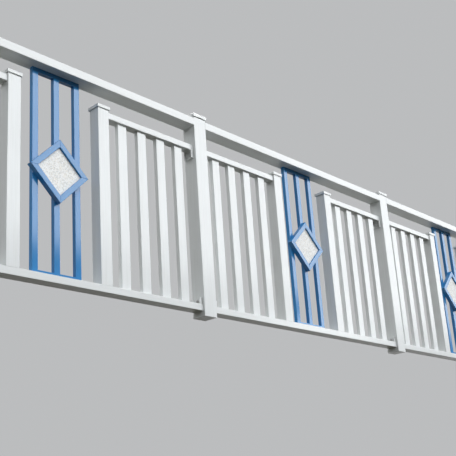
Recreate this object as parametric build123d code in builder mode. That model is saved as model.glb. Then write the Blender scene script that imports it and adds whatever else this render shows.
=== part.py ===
from build123d import *
import os

# Balcony railing of painted timber: whole bays between main posts.
# Each bay has a slatted panel, a blue ornament between two short posts, and a second slatted panel,
# all on one bottom rail and under one handrail.
# Millimetres. X runs along the railing, +Y goes in towards the balcony, +Z is up.
# The origin is the centre of the first main post's foot, which is bolted down on the deck's edge.

# Layout along the railing, with its length over the end posts
RAILING_LENGTH = 5063
BAY_COUNT = 3
ORNAMENT_CLEAR = 395

# Main posts, and the handrail that is as deep as they are
MAIN_POST_WIDTH = 80
MAIN_POST_DEPTH = 80
MAIN_POST_RISE = 9
HANDRAIL_TOP = 1018
HANDRAIL_HEIGHT = 40

# Bottom rail, short posts and mid rails
INFILL_SETBACK = 12
BOTTOM_RAIL_GAP = 26
BOTTOM_RAIL_HEIGHT = 32
BOTTOM_RAIL_DEPTH = 60
SHORT_POST_WIDTH = 60
SHORT_POST_DEPTH = 60
SHORT_POST_RISE = 7
MID_RAIL_DROP = 143
MID_RAIL_HEIGHT = 30
MID_RAIL_DEPTH = 45

# Balusters of the slatted panels
BALUSTER_COUNT = 4
BALUSTER_WIDTH = 50
BALUSTER_DEPTH = 23

# Caps on the posts
CAP_THICKNESS = 17
CAP_OVERHANG = 5
CAP_CHAMFER = 3

# Blue ornament: upright bars in a grid, with a diamond lapped on their faces
ORNAMENT_SETBACK = 20
BAR_COUNT = 3
BAR_WIDTH = 29
BAR_DEPTH = 20
GRID_RAIL_HEIGHT = 20
DIAMOND_SIDE = 204
DIAMOND_MEMBER = 25
DIAMOND_THICKNESS = 26
PANEL_RECESS = 9
REBATE_WIDTH = 6
REBATE_CLEARANCE = 0.3
MITRE_GROOVE_WIDTH = 1.6
MITRE_GROOVE_DEPTH = 1

# Pressed brackets that hold the rails' ends to the main posts
BRACKET_WALL = 4
BRACKET_REACH = 17
BRACKET_BEND = 5
MID_BRACKET_WIDTH = 52
MID_BRACKET_HEIGHT = 41
LOW_BRACKET_WIDTH = 58
LOW_BRACKET_HEIGHT = 30

# Eased edges
POST_EASE = 2
RAIL_EASE = 2
SLAT_EASE = 1.5
BAR_EASE = 1.5
DIAMOND_EASE = 1.5

# Positions that follow from the sizes above
BAY_CLEAR = (RAILING_LENGTH - MAIN_POST_WIDTH) / BAY_COUNT - MAIN_POST_WIDTH
BAY_PITCH = MAIN_POST_WIDTH + BAY_CLEAR
PANEL_CLEAR = (BAY_CLEAR - ORNAMENT_CLEAR) / 2 - SHORT_POST_WIDTH
FRONT = -MAIN_POST_DEPTH / 2
INFILL_Y = FRONT + INFILL_SETBACK + SHORT_POST_DEPTH / 2
BOTTOM_RAIL_TOP = BOTTOM_RAIL_GAP + BOTTOM_RAIL_HEIGHT
HANDRAIL_UNDERSIDE = HANDRAIL_TOP - HANDRAIL_HEIGHT
MID_RAIL_TOP = HANDRAIL_TOP - MID_RAIL_DROP
MID_RAIL_UNDERSIDE = MID_RAIL_TOP - MID_RAIL_HEIGHT
MAIN_POST_TOP = HANDRAIL_TOP + MAIN_POST_RISE
SHORT_POST_TOP = MID_RAIL_TOP + SHORT_POST_RISE
BALUSTER_GAP = (PANEL_CLEAR - BALUSTER_COUNT * BALUSTER_WIDTH) / (BALUSTER_COUNT + 1)
BAR_GAP = (ORNAMENT_CLEAR - BAR_COUNT * BAR_WIDTH) / (BAR_COUNT + 1)
DIAMOND_FRONT = FRONT + ORNAMENT_SETBACK
BAR_FRONT = DIAMOND_FRONT + DIAMOND_THICKNESS
BAR_BACK = BAR_FRONT + BAR_DEPTH
GRID_HEIGHT = HANDRAIL_UNDERSIDE - BOTTOM_RAIL_TOP
GRID_MIDDLE = BOTTOM_RAIL_TOP + GRID_HEIGHT / 2
DIAMOND_OPENING = DIAMOND_SIDE - 2 * DIAMOND_MEMBER


def main_post_x(index):
    """Centre line of a main post, counted from zero."""
    return index * BAY_PITCH


def bay_start(bay):
    """Right face of the main post at the left end of a bay."""
    return main_post_x(bay) + MAIN_POST_WIDTH / 2


def left_short_post_x(bay):
    return bay_start(bay) + PANEL_CLEAR + SHORT_POST_WIDTH / 2


def right_short_post_x(bay):
    return left_short_post_x(bay) + SHORT_POST_WIDTH + ORNAMENT_CLEAR


def panel_starts(bay):
    """Left ends of a bay's two slatted panels."""
    return [bay_start(bay), right_short_post_x(bay) + SHORT_POST_WIDTH / 2]


def ornament_x(bay):
    return (left_short_post_x(bay) + right_short_post_x(bay)) / 2


def post(x, y, width, depth, low, high):
    """An upright square timber with eased edges."""
    with BuildPart() as upright:
        with BuildSketch(Plane.XY.offset(low)):
            with Locations((x, y)):
                Rectangle(width, depth)
        extrude(amount=high - low)
        fillet(upright.edges().filter_by(Axis.Z), POST_EASE)
    return upright


def rail(x_start, y, length, depth, low, high):
    """A level timber along X with eased long edges."""
    with BuildPart() as level:
        with BuildSketch(Plane.YZ.offset(x_start)):
            with Locations((y, (low + high) / 2)):
                Rectangle(depth, high - low)
        extrude(amount=length)
        fillet(level.edges().filter_by(Axis.X), RAIL_EASE)
    return level


def caps(places, post_width, post_depth, low):
    """Flat caps that overhang their posts, with a chamfered upper edge."""
    with BuildPart() as plates:
        with BuildSketch(Plane.XY.offset(low)):
            with Locations(places):
                Rectangle(post_width + 2 * CAP_OVERHANG, post_depth + 2 * CAP_OVERHANG)
        extrude(amount=CAP_THICKNESS)
        chamfer(plates.faces().group_by(Axis.Z)[-1].edges(), CAP_CHAMFER)
    return plates


def baluster_panel(x_start):
    """Flat slats, evenly spaced, from the bottom rail to the mid rail."""
    pitch = BALUSTER_WIDTH + BALUSTER_GAP
    first = x_start + BALUSTER_GAP + BALUSTER_WIDTH / 2
    with BuildPart() as slats:
        with BuildSketch(Plane.XY.offset(BOTTOM_RAIL_TOP)):
            with Locations([(first + i * pitch, INFILL_Y) for i in range(BALUSTER_COUNT)]):
                Rectangle(BALUSTER_WIDTH, BALUSTER_DEPTH)
        extrude(amount=MID_RAIL_UNDERSIDE - BOTTOM_RAIL_TOP)
        fillet(slats.edges().filter_by(Axis.Z), SLAT_EASE)
    return slats


def ornament_grid(x_centre):
    """Upright bars joined by a top and a bottom bar, set back by the diamond that laps their faces."""
    pitch = BAR_WIDTH + BAR_GAP
    gaps = [(x_centre + (i - (BAR_COUNT - 2) / 2) * pitch, GRID_MIDDLE) for i in range(BAR_COUNT - 1)]
    with BuildPart() as grid:
        with BuildSketch(Plane.XZ.offset(-BAR_BACK)):
            with Locations((x_centre, GRID_MIDDLE)):
                Rectangle((BAR_COUNT - 1) * pitch + BAR_WIDTH, GRID_HEIGHT)
            with Locations(gaps):
                Rectangle(BAR_GAP, GRID_HEIGHT - 2 * GRID_RAIL_HEIGHT, mode=Mode.SUBTRACT)
        extrude(amount=BAR_DEPTH)
        fillet(grid.faces().sort_by(Axis.Y)[0].edges().filter_by(Axis.Z), BAR_EASE)
    return grid


def diamond_square(x_centre, side, mode=Mode.ADD):
    """A square that stands on its corner, for the diamond's sketches."""
    with Locations((x_centre, GRID_MIDDLE)):
        Rectangle(side, side, rotation=45, mode=mode)


def diamond_frame(x_centre):
    """A square frame on its corner, rebated behind for the panel, with mitre grooves at its corners."""
    inner_corner = DIAMOND_OPENING / 2 ** 0.5
    outer_corner = DIAMOND_SIDE / 2 ** 0.5
    with BuildPart() as frame:
        with BuildSketch(Plane.XZ.offset(-BAR_FRONT)):
            diamond_square(x_centre, DIAMOND_SIDE)
            diamond_square(x_centre, DIAMOND_OPENING, mode=Mode.SUBTRACT)
        extrude(amount=DIAMOND_THICKNESS)
        fillet(frame.faces().sort_by(Axis.Y)[0].edges(), DIAMOND_EASE)
        with BuildSketch(Plane.XZ.offset(-BAR_FRONT)):
            diamond_square(x_centre, DIAMOND_OPENING + 2 * REBATE_WIDTH)
        extrude(amount=DIAMOND_THICKNESS - PANEL_RECESS, mode=Mode.SUBTRACT)
        for direction in ((1, 0, 0), (0, 0, 1), (-1, 0, 0), (0, 0, -1)):
            start = Vector(x_centre, DIAMOND_FRONT, GRID_MIDDLE) + Vector(*direction) * inner_corner
            with BuildSketch(Plane(origin=start, x_dir=(0, 1, 0), z_dir=direction)):
                with BuildLine():
                    Polyline(
                        (-MITRE_GROOVE_DEPTH, -MITRE_GROOVE_WIDTH),
                        (-MITRE_GROOVE_DEPTH, MITRE_GROOVE_WIDTH),
                        (MITRE_GROOVE_DEPTH, 0),
                        close=True,
                    )
                make_face()
            extrude(amount=outer_corner - inner_corner, mode=Mode.SUBTRACT)
    return frame


def diamond_panel(x_centre):
    """The square infill, seated on the rebate's shoulder and backed by the bars."""
    with BuildPart() as infill:
        with BuildSketch(Plane.XZ.offset(-BAR_FRONT)):
            diamond_square(x_centre, DIAMOND_OPENING + 2 * REBATE_WIDTH - 2 * REBATE_CLEARANCE)
        extrude(amount=DIAMOND_THICKNESS - PANEL_RECESS)
    return infill


def bracket_flange(sketch, x_face, side, width):
    """The closed end of a bracket, round at the bends along the post's face, for a bracket's sketch."""
    with Locations((x_face + side * BRACKET_REACH / 2, INFILL_Y)):
        Rectangle(BRACKET_REACH, width)
    bends = sketch.vertices().group_by(Axis.X)[0 if side > 0 else -1]
    fillet(bends, BRACKET_BEND)


def bracket_channel(sketch, x_face, side, width):
    """A channel against a post's face at x_face, open away from the post, for a bracket's sketch."""
    bracket_flange(sketch, x_face, side, width)
    with Locations((x_face + side * (BRACKET_WALL + BRACKET_REACH) / 2, INFILL_Y)):
        Rectangle(BRACKET_REACH - BRACKET_WALL, width - 2 * BRACKET_WALL, mode=Mode.SUBTRACT)


def rail_brackets(bay):
    """Brackets under the mid rails' ends and on the bottom rail's ends, at both main posts of a bay."""
    faces = ((bay_start(bay), 1), (bay_start(bay) + BAY_CLEAR, -1))
    with BuildPart() as brackets:
        for x_face, side in faces:
            with BuildSketch(Plane.XY.offset(MID_RAIL_UNDERSIDE - MID_BRACKET_HEIGHT)) as mid_channel:
                bracket_channel(mid_channel, x_face, side, MID_BRACKET_WIDTH)
            extrude(amount=MID_BRACKET_HEIGHT)
            with BuildSketch(Plane.XY.offset(MID_RAIL_UNDERSIDE - BRACKET_WALL)) as mid_flange:
                bracket_flange(mid_flange, x_face, side, MID_BRACKET_WIDTH)
            extrude(amount=BRACKET_WALL)
            with BuildSketch(Plane.XY.offset(BOTTOM_RAIL_TOP)) as low_channel:
                bracket_channel(low_channel, x_face, side, LOW_BRACKET_WIDTH)
            extrude(amount=LOW_BRACKET_HEIGHT)
            with BuildSketch(Plane.XY.offset(BOTTOM_RAIL_TOP)) as low_flange:
                bracket_flange(low_flange, x_face, side, LOW_BRACKET_WIDTH)
            extrude(amount=BRACKET_WALL)
    return brackets


def save(piece, label):
    piece.part.label = label
    export_step(piece.part, f"parts/{label}.step")


def build_main_posts():
    for i in range(BAY_COUNT + 1):
        upright = post(main_post_x(i), 0, MAIN_POST_WIDTH, MAIN_POST_DEPTH, 0, MAIN_POST_TOP)
        save(upright, f"main_post_{i + 1}")
    places = [(main_post_x(i), 0) for i in range(BAY_COUNT + 1)]
    save(caps(places, MAIN_POST_WIDTH, MAIN_POST_DEPTH, MAIN_POST_TOP), "main_post_caps")


def build_rails(bay):
    x_start = bay_start(bay)
    handrail = rail(x_start, 0, BAY_CLEAR, MAIN_POST_DEPTH, HANDRAIL_UNDERSIDE, HANDRAIL_TOP)
    save(handrail, f"handrail_{bay + 1}")
    bottom_rail = rail(x_start, INFILL_Y, BAY_CLEAR, BOTTOM_RAIL_DEPTH, BOTTOM_RAIL_GAP, BOTTOM_RAIL_TOP)
    save(bottom_rail, f"bottom_rail_{bay + 1}")
    save(rail_brackets(bay), f"rail_brackets_{bay + 1}")


def build_short_posts(bay):
    places = [(left_short_post_x(bay), INFILL_Y), (right_short_post_x(bay), INFILL_Y)]
    for i, (x, y) in enumerate(places):
        upright = post(x, y, SHORT_POST_WIDTH, SHORT_POST_DEPTH, BOTTOM_RAIL_TOP, SHORT_POST_TOP)
        save(upright, f"short_post_{2 * bay + i + 1}")
    save(caps(places, SHORT_POST_WIDTH, SHORT_POST_DEPTH, SHORT_POST_TOP), f"short_post_caps_{bay + 1}")


def build_panels(bay):
    for i, x_start in enumerate(panel_starts(bay)):
        number = 2 * bay + i + 1
        mid_rail = rail(x_start, INFILL_Y, PANEL_CLEAR, MID_RAIL_DEPTH, MID_RAIL_UNDERSIDE, MID_RAIL_TOP)
        save(mid_rail, f"mid_rail_{number}")
        save(baluster_panel(x_start), f"balusters_{number}")


def build_ornament(bay):
    x_centre = ornament_x(bay)
    save(ornament_grid(x_centre), f"ornament_grid_{bay + 1}")
    save(diamond_frame(x_centre), f"diamond_frame_{bay + 1}")
    save(diamond_panel(x_centre), f"diamond_panel_{bay + 1}")


os.makedirs("parts", exist_ok=True)
build_main_posts()
for bay_index in range(BAY_COUNT):
    build_rails(bay_index)
    build_short_posts(bay_index)
    build_panels(bay_index)
    build_ornament(bay_index)
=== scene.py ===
import math

import bmesh
import bpy
from mathutils import Euler, Matrix, Vector, noise


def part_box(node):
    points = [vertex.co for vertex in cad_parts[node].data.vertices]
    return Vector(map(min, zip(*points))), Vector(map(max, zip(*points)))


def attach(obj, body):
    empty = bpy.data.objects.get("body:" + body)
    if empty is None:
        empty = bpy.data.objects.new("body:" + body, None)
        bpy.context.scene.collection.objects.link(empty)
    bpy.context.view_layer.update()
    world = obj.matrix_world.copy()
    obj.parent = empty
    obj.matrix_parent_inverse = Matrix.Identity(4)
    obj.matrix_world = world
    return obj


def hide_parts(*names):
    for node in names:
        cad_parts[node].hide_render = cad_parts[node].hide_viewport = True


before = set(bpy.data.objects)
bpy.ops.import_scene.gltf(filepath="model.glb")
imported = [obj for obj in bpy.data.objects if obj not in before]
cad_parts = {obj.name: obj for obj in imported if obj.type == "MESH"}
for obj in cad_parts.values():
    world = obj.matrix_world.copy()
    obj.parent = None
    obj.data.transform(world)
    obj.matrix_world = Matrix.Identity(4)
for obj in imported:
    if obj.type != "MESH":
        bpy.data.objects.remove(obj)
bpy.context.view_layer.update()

# Balcony railing of painted timber, seen from below and from its left.
# Metres. X runs along the railing, +Y goes in towards the balcony, +Z is up.
BODY = "root"
BAYS = 3
X_AXIS, Z_AXIS = 0, 2

# Camera, solved from the straight edges of the photograph. The image is 456 pixels square.
IMAGE_SIZE = 456
SENSOR_WIDTH = 36.0
FOCAL_PIXELS = 825.8
PRINCIPAL_ROW = 270.0
CAMERA_PLACE = (-1.0498, -2.6350, -0.9152)
CAMERA_ANGLES = (106.894, 3.733, -46.524)
CLIP_NEAR = 0.05
CLIP_FAR = 200.0

# Floor and background. The floor throws back less light than its own tone would.
FLOOR_LEVEL = -1.12
FLOOR_RADIUS = 150.0
FLOOR_SIDES = 96
BACKGROUND = (0.50, 0.508, 0.516)
FLOOR_PALE = (0.437, 0.441, 0.445)
FLOOR_BOUNCE = (0.046, 0.043, 0.029)

# Light from all round. Bearings are in degrees from -Y towards +X, bottoms and tops in degrees above
# the horizon. Fades and softnesses are half the width of a soft edge, as the sine of the angle.
AMBIENT_HORIZON = (0.295, 0.30, 0.305)
AMBIENT_ZENITH = (0.32, 0.325, 0.33)
EDGE_SOFTNESS = 0.02
FRONT_LIGHT = {
    "bearings": (-34, 66),
    "fades": (EDGE_SOFTNESS, 0.35),
    "top": 37,
    "strength": 5.95,
    "tint": (0.98, 1.0, 1.02),
}
BACK_LIGHTS = (
    {
        "bearings": (105, 245),
        "fades": (EDGE_SOFTNESS, EDGE_SOFTNESS),
        "bottom": 35,
        "top": 45,
        "strength": 4.7,
        "tint": (1.0, 0.99, 0.97),
    },
    {
        "bearings": (120, 178),
        "fades": (EDGE_SOFTNESS, EDGE_SOFTNESS),
        "bottom": 4,
        "top": 26,
        "strength": 3.0,
        "tint": (1.0, 1.0, 1.0),
    },
)

# The front light ends below at a sloping plane, and two tabs of it hang lower
FRONT_EDGE_NORMAL = (-0.073, 0.497, 1.0)
FRONT_EDGE_LEVEL = -0.098
FRONT_TABS = (
    {"bearings": (52.85, 57.4), "fades": (0.010, 0.02), "bottom": 9.5, "top": 20.0},
    {"bearings": (46.0, 53.5), "fades": (0.02, 0.010), "bottom": 9.5, "top": 13.3},
)
TAB_TOP_SOFTNESS = 0.010

# Paints: linear colours, the roughness of the smoothest places and the index that sets the reflection
# The grime colour darkens the streaks along the grain, and is also the colour of the shade painted into
# corners.
WHITE_PAINT = {
    "colour": (0.80, 0.825, 0.83),
    "faded": (0.776, 0.80025, 0.8051),
    "grime_and_shade": (0.43, 0.42, 0.38),
    "roughness": 0.11,
    "index": 1.365,
}
BLUE_PAINT = {
    "colour": (0.032, 0.213, 0.500),
    "faded": (0.038, 0.222, 0.508),
    "grime_and_shade": (0.04, 0.09, 0.15),
    "roughness": 0.045,
    "index": 1.425,
}

# Marks in the paint. Scales are noise cells a metre across and along the grain, edges the noise values
# between which a mark comes in, and shares how much of its colour it brings at most.
NOISE_ROUGHNESS = 0.55
CLOUDS = {"scales": (2.2, 2.2), "detail": 3.0, "edges": (0.35, 0.65)}
GRAIN = {"scales": (150.0, 4.0), "detail": 5.0, "edges": (0.40, 0.75), "share": 0.10, "relief": 0.6}
BRISTLES = {"scales": (900.0, 9.0), "detail": 2.0, "relief": 0.25}
PATCHES = {"scales": (22.0, 7.0), "detail": 6.0, "noise_roughness": 0.65}
# Painted shade: the paint darkens towards its grime colour in corners and under overhangs within reach,
# broken up in patches.
PAINT_CREVICE_SHADE = {"reach": 0.035, "edges": (0.38, 0.68), "least": 0.15, "share": 0.12}
PAINT_GLOSS = {"edges": (0.30, 0.75), "spread": 0.04}
PAINT_BUMP = {"Strength": 0.2, "Distance": 0.0001}

# Board of the panels, cast with stone chips
PEBBLE_PITCH = 0.0045
SPECKS_A_PEBBLE = 2.2
PANEL_BOARD = (0.975, 0.98, 0.97)
PANEL_GREY = (0.60, 0.61, 0.60)
PANEL_BUFF = (0.86, 0.81, 0.72)
PANEL_DARK = (0.30, 0.29, 0.27)
GREY_CHIPS = {"edges": (0.52, 0.80), "share": 0.60}
BUFF_CHIPS = {"edges": (0.66, 0.86), "share": 0.50}
DARK_SPECKS = {"edges": (0.70, 0.90), "core": (0.20, 0.50), "share": 0.55}
# Painted shade: the board darkens to grey in corners and along the recess under the frame.
BOARD_CREVICE_SHADE = {"reach": 0.010, "share": 0.4}
BOARD_GRIT = {"scales": (420.0, 420.0), "detail": 3.0, "edges": (0.3, 0.7)}
BOARD_ROUGHNESS = (0.62, 0.85)
BOARD_BUMP = {"Strength": 0.5, "Distance": 0.0008}

# Brackets and screws
BRACKET_PAINT = {"colour": (0.74, 0.76, 0.765), "metallic": 0.0, "roughness": 0.35}
SCREW_STEEL = {"colour": (0.46, 0.46, 0.46), "metallic": 1.0, "roughness": 0.35}
BLOTCHES = {"scales": (60.0, 60.0), "detail": 5.0, "edges": (0.42, 0.72), "share": 0.55}
BLOTCH_BRIGHTNESS = 0.62
SCRATCHES = {"scales": (120.0, 900.0), "detail": 2.0}
# Painted shade: brackets and screws darken towards the paints' grime colour in their corners.
METAL_CREVICE_SHADE = {"reach": 0.012, "share": 0.5}
METAL_GLOSS = {"edges": (0.3, 0.7), "spread": 0.2}
METAL_BUMP = {"Strength": 0.25, "Distance": 0.0003}

# Places of a Mix node's colour sockets
MIX_FACTOR, MIX_FIRST, MIX_SECOND, MIX_RESULT = 0, 6, 7, 2
AO_SAMPLES = 8


def add_node(tree, kind, **settings):
    """A shader node with its settings. A setting that names an input fills that socket."""
    made = tree.nodes.new(kind)
    for key, value in settings.items():
        if hasattr(made, key):
            setattr(made, key, value)
        else:
            made.inputs[key].default_value = value
    return made


def fill(tree, socket, value):
    """Puts a number, a colour or another node's output into a socket."""
    if isinstance(value, (int, float)):
        socket.default_value = value
    elif isinstance(value, tuple):
        socket.default_value = (*value, 1.0)
    else:
        tree.links.new(value, socket)


def cleared_tree(owner):
    """The empty node tree of a material or a world."""
    owner.use_nodes = True
    owner.node_tree.nodes.clear()
    return owner.node_tree


def math_node(tree, operation, first, second=0.0):
    """A sum, a product or the like of two values, or of the first alone."""
    made = add_node(tree, "ShaderNodeMath", operation=operation)
    fill(tree, made.inputs[0], first)
    fill(tree, made.inputs[1], second)
    return made.outputs["Value"]


def product(tree, *factors):
    """All the factors multiplied, in their order."""
    result = factors[0]
    for factor in factors[1:]:
        result = math_node(tree, "MULTIPLY", result, factor)
    return result


def ramp(tree, value, edges, ends=(0.0, 1.0)):
    """A smooth step from one end to the other as the value goes from edge to edge."""
    made = add_node(tree, "ShaderNodeMapRange", interpolation_type="SMOOTHSTEP")
    for name, number in zip(("From Min", "From Max", "To Min", "To Max"), (*edges, *ends)):
        made.inputs[name].default_value = number
    tree.links.new(value, made.inputs["Value"])
    return made.outputs["Result"]


def mix_colour(tree, factor, first, second, blend="MIX"):
    """A colour between two colours, each given as numbers or as a socket."""
    made = add_node(tree, "ShaderNodeMix", data_type="RGBA", blend_type=blend)
    fill(tree, made.inputs[MIX_FACTOR], factor)
    fill(tree, made.inputs[MIX_FIRST], first)
    fill(tree, made.inputs[MIX_SECOND], second)
    return made.outputs[MIX_RESULT]


def new_material(name):
    """An empty material with a Principled shader, and the object-space position."""
    material = bpy.data.materials.new(name)
    tree = cleared_tree(material)
    shader = tree.nodes.new("ShaderNodeBsdfPrincipled")
    output = tree.nodes.new("ShaderNodeOutputMaterial")
    tree.links.new(shader.outputs["BSDF"], output.inputs["Surface"])
    position = tree.nodes.new("ShaderNodeTexCoord").outputs["Object"]
    return material, tree, shader, position


def marks_noise(tree, position, marks, axis=X_AXIS):
    """Noise for marks in a surface, drawn out along an axis where their two scales differ."""
    across, along = marks["scales"]
    scales = tuple(along if i == axis else across for i in range(3))
    mapping = add_node(tree, "ShaderNodeMapping", Scale=scales)
    tree.links.new(position, mapping.inputs["Vector"])
    roughness = marks.get("noise_roughness", NOISE_ROUGHNESS)
    made = add_node(tree, "ShaderNodeTexNoise", Scale=1.0, Detail=marks["detail"], Roughness=roughness)
    tree.links.new(mapping.outputs["Vector"], made.inputs["Vector"])
    return made.outputs["Fac"]


def crevices(tree, distance):
    """One in corners and under overhangs, zero on open faces. It masks the shade painted there."""
    hollow = add_node(tree, "ShaderNodeAmbientOcclusion", samples=AO_SAMPLES, Distance=distance)
    return math_node(tree, "SUBTRACT", 1.0, hollow.outputs["AO"])


def add_gloss(tree, shader, value, gloss, smoothest):
    """Roughness that rises from its smoothest by the gloss's spread."""
    rough = ramp(tree, value, gloss["edges"], (smoothest, smoothest + gloss["spread"]))
    tree.links.new(rough, shader.inputs["Roughness"])


def add_bump(tree, shader, height, settings):
    """Fine relief in the shading alone."""
    bump = add_node(tree, "ShaderNodeBump", **settings)
    tree.links.new(height, bump.inputs["Height"])
    tree.links.new(bump.outputs["Normal"], shader.inputs["Normal"])


def along_diamond(tree, position):
    """The position with X across and Z along the diamonds' sloping members, and a Y of its own for each."""
    first, second = (sum(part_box(f"diamond_frame_{bay}"), Vector()) / 2 for bay in (1, 2))
    half_bay = (second.x - first.x) / 2
    split = tree.nodes.new("ShaderNodeSeparateXYZ")
    tree.links.new(position, split.inputs["Vector"])
    x = math_node(tree, "SUBTRACT", split.outputs["X"], first.x)
    z = math_node(tree, "SUBTRACT", split.outputs["Z"], first.z)
    sideways = math_node(tree, "PINGPONG", x, half_bay)
    upwards = math_node(tree, "ABSOLUTE", z)
    # The noise is read a metre farther on for each half of a diamond, and half a metre for upper members
    half = math_node(tree, "FLOOR", math_node(tree, "DIVIDE", x, half_bay))
    upper = math_node(tree, "GREATER_THAN", z, 0.0)
    member = math_node(tree, "ADD", half, product(tree, upper, 0.5))
    turned = tree.nodes.new("ShaderNodeCombineXYZ")
    across = product(tree, math_node(tree, "ADD", sideways, upwards), math.sqrt(0.5))
    along = product(tree, math_node(tree, "SUBTRACT", sideways, upwards), math.sqrt(0.5))
    fill(tree, turned.inputs["X"], across)
    fill(tree, turned.inputs["Y"], math_node(tree, "ADD", split.outputs["Y"], member))
    fill(tree, turned.inputs["Z"], along)
    return turned.outputs["Vector"]


def paint_material(name, axis, paint, turned=None):
    """Brushed gloss paint on planed timber, with shade painted into its corners and under overhangs. Its
    grain runs along an axis, after a turn where one is given.
    """
    material, tree, shader, position = new_material(name)
    if turned:
        position = turned(tree, position)
    clouds = marks_noise(tree, position, CLOUDS)
    grain = marks_noise(tree, position, GRAIN, axis)
    bristles = marks_noise(tree, position, BRISTLES, axis)
    patches = marks_noise(tree, position, PATCHES, axis)

    tone = mix_colour(tree, ramp(tree, clouds, CLOUDS["edges"]), paint["colour"], paint["faded"])
    streak = ramp(tree, grain, GRAIN["edges"], (0.0, GRAIN["share"]))
    streaked = mix_colour(tree, streak, tone, paint["grime_and_shade"])
    # Painted shade: darker towards the grime colour in corners and under overhangs, in patches.
    patchy = ramp(tree, patches, PAINT_CREVICE_SHADE["edges"], (PAINT_CREVICE_SHADE["least"], 1.0))
    crevice_shade = product(tree, crevices(tree, PAINT_CREVICE_SHADE["reach"]), patchy, PAINT_CREVICE_SHADE["share"])
    tree.links.new(mix_colour(tree, crevice_shade, streaked, paint["grime_and_shade"]), shader.inputs["Base Color"])

    add_gloss(tree, shader, patches, PAINT_GLOSS, paint["roughness"])
    shader.inputs["IOR"].default_value = paint["index"]
    brushed = product(tree, bristles, BRISTLES["relief"])
    relief = math_node(tree, "ADD", product(tree, grain, GRAIN["relief"]), brushed)
    add_bump(tree, shader, relief, PAINT_BUMP)
    return material


def cells(tree, position, per_pebble):
    """Irregular cells, so many to a pebble's pitch."""
    made = add_node(tree, "ShaderNodeTexVoronoi", Scale=per_pebble / PEBBLE_PITCH, feature="F1")
    tree.links.new(position, made.inputs["Vector"])
    return made.outputs


def panel_material():
    """Matt board cast with fine stone chips: most white, some grey, some buff, a few dark, with shade painted
    in along its edges and corners.
    """
    material, tree, shader, position = new_material("speckled_board")
    chips = cells(tree, position, 1.0)
    specks = cells(tree, position, SPECKS_A_PEBBLE)
    kind = tree.nodes.new("ShaderNodeSeparateColor")
    tree.links.new(chips["Color"], kind.inputs["Color"])
    grit = marks_noise(tree, position, BOARD_GRIT)

    grey = ramp(tree, kind.outputs["Red"], GREY_CHIPS["edges"], (0.0, GREY_CHIPS["share"]))
    buff = ramp(tree, kind.outputs["Green"], BUFF_CHIPS["edges"], (0.0, BUFF_CHIPS["share"]))
    core = ramp(tree, specks["Distance"], DARK_SPECKS["core"], (1.0, 0.0))
    dark = product(tree, ramp(tree, specks["Color"], DARK_SPECKS["edges"]), core, DARK_SPECKS["share"])
    # Painted shade in corners and along the frame, in the grey of the chips.
    crevice_shade = product(tree, crevices(tree, BOARD_CREVICE_SHADE["reach"]), BOARD_CREVICE_SHADE["share"])
    colour = PANEL_BOARD
    for share, tint in ((grey, PANEL_GREY), (buff, PANEL_BUFF), (dark, PANEL_DARK), (crevice_shade, PANEL_GREY)):
        colour = mix_colour(tree, share, colour, tint)
    tree.links.new(colour, shader.inputs["Base Color"])

    rough = ramp(tree, grit, BOARD_GRIT["edges"], BOARD_ROUGHNESS)
    tree.links.new(rough, shader.inputs["Roughness"])
    add_bump(tree, shader, grit, BOARD_BUMP)
    return material


def metal_material(name, metal):
    """Pressed or turned steel, painted or bare, with a worn, slightly blotched surface and shade painted into
    its corners.
    """
    material, tree, shader, position = new_material(name)
    blotches = marks_noise(tree, position, BLOTCHES)
    scratches = marks_noise(tree, position, SCRATCHES)
    dull = tuple(BLOTCH_BRIGHTNESS * c for c in metal["colour"])
    blotch = ramp(tree, blotches, BLOTCHES["edges"], (0.0, BLOTCHES["share"]))
    worn = mix_colour(tree, blotch, metal["colour"], dull)
    # Painted shade in corners and round the screw heads.
    crevice_shade = product(tree, crevices(tree, METAL_CREVICE_SHADE["reach"]), METAL_CREVICE_SHADE["share"])
    tree.links.new(mix_colour(tree, crevice_shade, worn, WHITE_PAINT["grime_and_shade"]), shader.inputs["Base Color"])
    add_gloss(tree, shader, blotches, METAL_GLOSS, metal["roughness"])
    shader.inputs["Metallic"].default_value = metal["metallic"]
    add_bump(tree, shader, scratches, METAL_BUMP)
    return material


def plane_step(tree, direction, normal, level, softness=EDGE_SOFTNESS):
    """One on the side of a plane that its normal points to, with a soft edge."""
    height = add_node(tree, "ShaderNodeVectorMath", operation="DOT_PRODUCT")
    tree.links.new(direction, height.inputs[0])
    height.inputs[1].default_value = normal
    return ramp(tree, height.outputs["Value"], (level - softness, level + softness))


def between_bearings(tree, direction, bearings, fades):
    """One between two bearings, with a soft edge of its own at each."""
    start, end = (math.radians(a) for a in bearings)
    after = plane_step(tree, direction, (math.cos(start), math.sin(start), 0.0), 0.0, fades[0])
    before = plane_step(tree, direction, (-math.cos(end), -math.sin(end), 0.0), 0.0, fades[1])
    return product(tree, after, before)


def above(tree, direction, degrees):
    """One above a height over the horizon."""
    return plane_step(tree, direction, (0.0, 0.0, 1.0), math.sin(math.radians(degrees)))


def below(tree, direction, degrees, softness=EDGE_SOFTNESS):
    """One below a height over the horizon."""
    return plane_step(tree, direction, (0.0, 0.0, -1.0), -math.sin(math.radians(degrees)), softness)


def front_lower_edge(tree, direction):
    """One above the front light's sloping lower edge, and in the tabs below it."""
    inside = plane_step(tree, direction, FRONT_EDGE_NORMAL, FRONT_EDGE_LEVEL)
    for tab in FRONT_TABS:
        bottom = above(tree, direction, tab["bottom"])
        top = below(tree, direction, tab["top"], TAB_TOP_SOFTNESS)
        sides = between_bearings(tree, direction, tab["bearings"], tab["fades"])
        inside = math_node(tree, "MAXIMUM", inside, product(tree, bottom, top, sides))
    return inside


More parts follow.
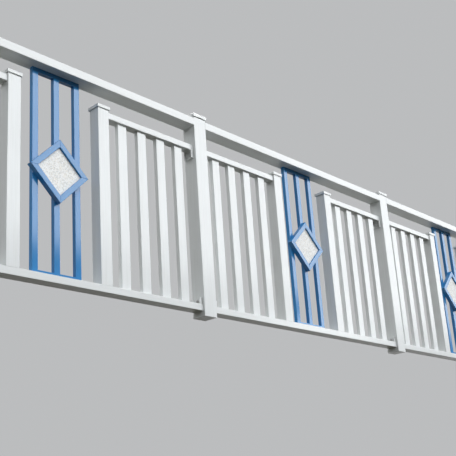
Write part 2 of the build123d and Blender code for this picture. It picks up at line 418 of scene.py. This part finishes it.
def soft_window(tree, direction, light, lower_edge):
    """The strength of a soft light, between its two bearings, above a lower edge and below its top."""
    sides = between_bearings(tree, direction, light["bearings"], light["fades"])
    return product(tree, sides, below(tree, direction, light["top"]), lower_edge, light["strength"])


def seen_plain(tree):
    """One for rays from the camera, off gloss and through glass, zero for the rays that gather light."""
    path = tree.nodes.new("ShaderNodeLightPath").outputs
    seen = math_node(tree, "MAXIMUM", path["Is Camera Ray"], path["Is Glossy Ray"])
    return math_node(tree, "MAXIMUM", seen, path["Is Transmission Ray"])


def light_world():
    """Soft lights in front and behind, over an even ambient. The camera sees the plain background."""
    world = bpy.data.worlds.new("studio")
    bpy.context.scene.world = world
    tree = cleared_tree(world)
    output = tree.nodes.new("ShaderNodeOutputWorld")
    background = tree.nodes.new("ShaderNodeBackground")
    tree.links.new(background.outputs["Background"], output.inputs["Surface"])
    direction = tree.nodes.new("ShaderNodeTexCoord").outputs["Generated"]
    split = tree.nodes.new("ShaderNodeSeparateXYZ")
    tree.links.new(direction, split.inputs["Vector"])
    ambient = mix_colour(tree, ramp(tree, split.outputs["Z"], (0.0, 1.0)), AMBIENT_HORIZON, AMBIENT_ZENITH)
    colour = mix_colour(tree, seen_plain(tree), ambient, BACKGROUND)
    camera_ray = tree.nodes.new("ShaderNodeLightPath").outputs["Is Camera Ray"]
    off_camera = math_node(tree, "SUBTRACT", 1.0, camera_ray)
    lights = [(FRONT_LIGHT, front_lower_edge(tree, direction))]
    lights += [(light, above(tree, direction, light["bottom"])) for light in BACK_LIGHTS]
    for light, lower_edge in lights:
        glow = product(tree, soft_window(tree, direction, light, lower_edge), off_camera)
        tinted = mix_colour(tree, 1.0, light["tint"], glow, blend="MULTIPLY")
        colour = mix_colour(tree, 1.0, colour, tinted, blend="ADD")
    tree.links.new(colour, background.inputs["Color"])


def make_floor():
    """A plain pale floor below the camera, which throws back little light at the railing's underside."""
    mesh = bpy.data.meshes.new("floor")
    turns = [2 * math.pi * i / FLOOR_SIDES for i in range(FLOOR_SIDES)]
    rim = [(FLOOR_RADIUS * math.cos(t), FLOOR_RADIUS * math.sin(t), FLOOR_LEVEL) for t in turns]
    mesh.from_pydata(rim, [], [tuple(range(FLOOR_SIDES))])
    floor = bpy.data.objects.new("floor", mesh)
    bpy.context.scene.collection.objects.link(floor)
    material = bpy.data.materials.new("floor")
    tree = cleared_tree(material)
    shader = tree.nodes.new("ShaderNodeBsdfDiffuse")
    output = tree.nodes.new("ShaderNodeOutputMaterial")
    tone = mix_colour(tree, seen_plain(tree), FLOOR_BOUNCE, FLOOR_PALE)
    tree.links.new(tone, shader.inputs["Color"])
    tree.links.new(shader.outputs["BSDF"], output.inputs["Surface"])
    mesh.materials.append(material)


def make_camera():
    """The photograph's camera, with its frame shifted as far as the photograph's is."""
    data = bpy.data.cameras.new("camera")
    data.sensor_width = SENSOR_WIDTH
    data.lens = FOCAL_PIXELS / IMAGE_SIZE * SENSOR_WIDTH
    data.shift_y = (PRINCIPAL_ROW - IMAGE_SIZE / 2) / IMAGE_SIZE
    data.clip_start = CLIP_NEAR
    data.clip_end = CLIP_FAR
    camera = bpy.data.objects.new("camera", data)
    camera.location = CAMERA_PLACE
    camera.rotation_euler = Euler([math.radians(a) for a in CAMERA_ANGLES], "XYZ")
    bpy.context.scene.collection.objects.link(camera)
    bpy.context.scene.camera = camera


def add_piece(name, bm, material):
    """A piece of the railing from a finished shape, which it uses up."""
    mesh = bpy.data.meshes.new(name)
    bm.to_mesh(mesh)
    bm.free()
    mesh.materials.append(material)
    piece = bpy.data.objects.new(name, mesh)
    bpy.context.scene.collection.objects.link(piece)
    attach(piece, BODY)
    return piece


# Screws and their washers in the brackets
SCREW_SIDES = 6
SCREW_FLATS = 0.010
SCREW_HEAD = 0.004
SCREW_CHAMFER = 0.0009
WASHER_SIDES = 28
WASHER_RADIUS = 0.0075
WASHER_THICKNESS = 0.0012
WASHER_CHAMFER = 0.0003
FLANGE_SCREW_SCALE = 0.72
BRACKET_WALL = 0.004
BRACKET_REACH = 0.017
MID_SCREW_DROP = 0.0235
LOW_SCREW_RISE = 0.017


def disc(bm, radius, bottom, top, chamfer, sides):
    """A prism on the screw's own axis, chamfered round its top and closed at both ends."""
    rings = []
    for ring_radius, height in ((radius, bottom), (radius, top - chamfer), (radius - chamfer, top)):
        turns = [i * (2 * math.pi / sides) for i in range(sides)]
        places = [(ring_radius * math.cos(t), ring_radius * math.sin(t), height) for t in turns]
        rings.append([bm.verts.new(place) for place in places])
    for low, high in zip(rings, rings[1:]):
        for i in range(sides):
            j = (i + 1) % sides
            bm.faces.new((low[i], low[j], high[j], high[i]))
    bm.faces.new(list(reversed(rings[0])))
    bm.faces.new(rings[-1])


def screw(bm, place, direction, scale=1.0):
    """A hexagon head on its washer, standing on a face at place and pointing in a direction."""
    before = len(bm.verts)
    across_corners = SCREW_FLATS / math.sqrt(3)
    head_top = WASHER_THICKNESS + SCREW_HEAD
    disc(bm, WASHER_RADIUS, 0.0, WASHER_THICKNESS, WASHER_CHAMFER, WASHER_SIDES)
    disc(bm, across_corners, WASHER_THICKNESS, head_top, SCREW_CHAMFER, SCREW_SIDES)
    bm.verts.ensure_lookup_table()
    turn = Vector(direction).to_track_quat("Z", "Y").to_matrix().to_4x4()
    transform = Matrix.Translation(place) @ turn @ Matrix.Scale(scale, 4)
    for vertex in bm.verts[before:]:
        vertex.co = transform @ vertex.co


def bracket_screws(name, bay, rail_face, rail_side, web_rise, material):
    """One screw into the post and one into the rail at both of a bay's brackets on one level."""
    low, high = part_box(f"rail_brackets_{bay}")
    middle = (low.y + high.y) / 2
    bm = bmesh.new()
    for face, side in ((low.x, 1), (high.x, -1)):
        web = face + side * BRACKET_WALL
        flange = face + side * (BRACKET_WALL + BRACKET_REACH) / 2
        screw(bm, (web, middle, rail_face + rail_side * web_rise), (side, 0, 0))
        flange_place = (flange, middle, rail_face + rail_side * BRACKET_WALL)
        screw(bm, flange_place, (0, 0, rail_side), FLANGE_SCREW_SCALE)
    add_piece(f"{name}_{bay}", bm, material)


# Cast face of the panels. The slices are where the two noises are cut.
PANEL_CELLS = 78
PEBBLE_DEPTH = 0.0007
PEBBLE_SLICE = 0.37
SWELL_PITCH = 0.03
SWELL_DEPTH = 0.0003
SWELL_SLICE = 1.9


def pebble_depth(x, z):
    """How far the cast face lies behind the panel's flat front."""
    near = noise.voronoi(Vector((x, z, PEBBLE_SLICE)) / PEBBLE_PITCH)[0][0]
    pebble = min(1.0, max(0.0, near)) ** 2
    swell = 0.5 + 0.5 * noise.noise(Vector((x, z, SWELL_SLICE)) / SWELL_PITCH)
    return PEBBLE_DEPTH * pebble + SWELL_DEPTH * swell


def cast_face(bm, centre, half_diagonal, front):
    """The panel's face in rows that run up to the left, each starting farther up to the right."""
    n = PANEL_CELLS
    rows = []
    for i in range(n + 1):
        row = []
        for j in range(n + 1):
            u, v = i / n, j / n
            x = centre.x + half_diagonal * (u - v)
            z = centre.z + half_diagonal * (u + v - 1)
            at_edge = i in (0, n) or j in (0, n)
            depth = 0.0 if at_edge else pebble_depth(x, z)
            row.append(bm.verts.new((x, front + depth, z)))
        rows.append(row)
    for row, after in zip(rows, rows[1:]):
        for j in range(n):
            bm.faces.new((row[j], after[j], after[j + 1], row[j + 1]))
    return rows


def pebbled_panel(bay, material):
    """The panel again, as a closed slab whose front is cast like small pebbles."""
    node = f"diamond_panel_{bay}"
    low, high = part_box(node)
    bm = bmesh.new()
    rows = cast_face(bm, (low + high) / 2, (high.x - low.x) / 2, low.y)
    rim = [row[0] for row in rows[:-1]] + rows[-1][:-1]
    rim += [row[-1] for row in rows[:0:-1]] + rows[0][:0:-1]
    back = [bm.verts.new((vertex.co.x, high.y, vertex.co.z)) for vertex in rim]
    for k in range(len(rim)):
        m = (k + 1) % len(rim)
        bm.faces.new((rim[k], back[k], back[m], rim[m]))
    bm.faces.new(back)
    bmesh.ops.recalc_face_normals(bm, faces=bm.faces[:])
    piece = add_piece(f"pebbled_panel_{bay}", bm, material)
    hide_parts(node)


def dress(prefix, material):
    """Gives a material to every node whose name starts with a prefix."""
    for name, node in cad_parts.items():
        if name.startswith(prefix):
            for slot in node.material_slots:
                slot.material = material


def dress_nodes():
    """Paint on the timbers, brushed the way that each one runs. The caps, whose names start as their posts'
    names do, come after them."""
    white_upright = paint_material("white_paint_upright", Z_AXIS, WHITE_PAINT)
    white_level = paint_material("white_paint_level", X_AXIS, WHITE_PAINT)
    blue_upright = paint_material("blue_paint_upright", Z_AXIS, BLUE_PAINT)
    blue_sloping = paint_material("blue_paint_sloping", Z_AXIS, BLUE_PAINT, turned=along_diamond)
    for prefix in ("main_post", "short_post", "balusters"):
        dress(prefix, white_upright)
    for prefix in ("handrail", "bottom_rail", "mid_rail", "main_post_caps", "short_post_caps"):
        dress(prefix, white_level)
    dress("ornament_grid", blue_upright)
    dress("diamond_frame", blue_sloping)


def add_brackets():
    """Paint on the brackets and on the screws of the upper ones. The lower screws are bare steel."""
    paint = metal_material("bracket_paint", BRACKET_PAINT)
    steel = metal_material("screw_steel", SCREW_STEEL)
    dress("rail_brackets", paint)
    for bay in range(1, BAYS + 1):
        low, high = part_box(f"rail_brackets_{bay}")
        bracket_screws("mid_bracket_screws", bay, high.z, -1, MID_SCREW_DROP, paint)
        bracket_screws("low_bracket_screws", bay, low.z, 1, LOW_SCREW_RISE, steel)


def add_panels():
    """A speckled board in each diamond."""
    board = panel_material()
    for bay in range(1, BAYS + 1):
        pebbled_panel(bay, board)


bpy.context.scene.view_settings.view_transform = "Standard"
make_camera()
light_world()
make_floor()
dress_nodes()
add_brackets()
add_panels()
